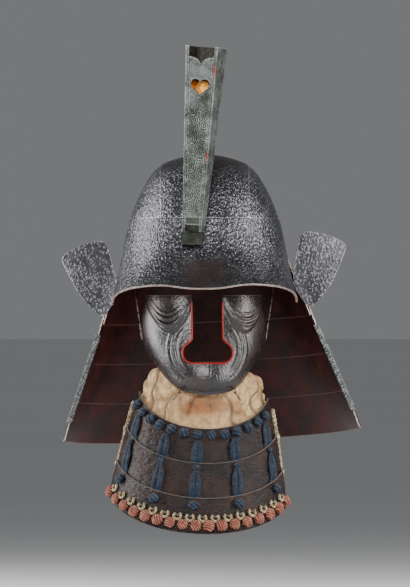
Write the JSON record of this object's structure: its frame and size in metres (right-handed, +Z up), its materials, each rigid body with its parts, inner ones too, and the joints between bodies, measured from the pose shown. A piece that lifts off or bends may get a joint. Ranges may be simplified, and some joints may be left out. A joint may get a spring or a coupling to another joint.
{
  "type": "samurai helmet with face mask and throat guard",
  "caption": "Black lacquered iron samurai helmet with visor, tall box crest, turn-backs and laced neck guard, with its half face mask, leather collar and throat guard.",
  "frame": {"origin": "inner top of the bowl, where it sits on the crown of a head", "axes": "+Z up, the front faces -Y, the wearer's left is at +X"},
  "size_m": [0.3804, 0.3555, 0.6152],
  "materials": {
    "black_lacquer": "black lacquer over pebbled iron, satin, worn to brown at the crown; red lacquer inside",
    "patinated_copper": "copper alloy with grey-green patina, chased scrolls, gilt inside",
    "brown_lacquer": "dark brown lacquer, satin, red on the edge of the nose opening",
    "iron": "dark worn iron",
    "buff_leather": "old buff leather, crumpled, stained brown in front",
    "blue_silk": "faded indigo silk braid",
    "cream_silk": "faded cream silk",
    "salmon_silk": "faded salmon silk"
  },
  "bodies": {
    "root": {"bowl_top_plate": "black_lacquer", "bowl_side_left": "black_lacquer", "bowl_side_right": "black_lacquer", "brow_plate": "black_lacquer", "bowl_base_band": "black_lacquer", "neck_lame_1": "black_lacquer", "neck_lame_2": "black_lacquer", "neck_lame_3": "black_lacquer", "neck_lame_4": "black_lacquer", "turn_back_left": "black_lacquer", "turn_back_right": "black_lacquer", "crest_box": "patinated_copper", "crest_socket": "patinated_copper", "mask": "brown_lacquer", "throat_lame_1": "brown_lacquer", "throat_lame_2": "brown_lacquer", "throat_lame_3": "brown_lacquer", "cord_pin_left": "iron", "cord_pin_right": "iron", "mask_hanger_left": "iron", "mask_hanger_right": "iron", "collar": "buff_leather", "rim_knots": "blue_silk", "neck_braid_left": "blue_silk", "neck_braid_right": "blue_silk", "upper_lace_1": "blue_silk", "upper_lace_2": "blue_silk", "upper_lace_3": "blue_silk", "upper_lace_4": "blue_silk", "upper_lace_5": "blue_silk", "lower_lace_1": "blue_silk", "lower_lace_2": "blue_silk", "lower_lace_3": "blue_silk", "lower_lace_4": "blue_silk", "lower_lace_5": "blue_silk", "last_knot_1": "blue_silk", "last_knot_2": "blue_silk", "last_knot_3": "blue_silk", "last_knot_4": "blue_silk", "last_knot_5": "blue_silk", "hem_loops": "cream_silk", "edge_cord_left": "cream_silk", "edge_cord_right": "cream_silk", "hem_knots": "salmon_silk"}
  },
  "joints": []
}
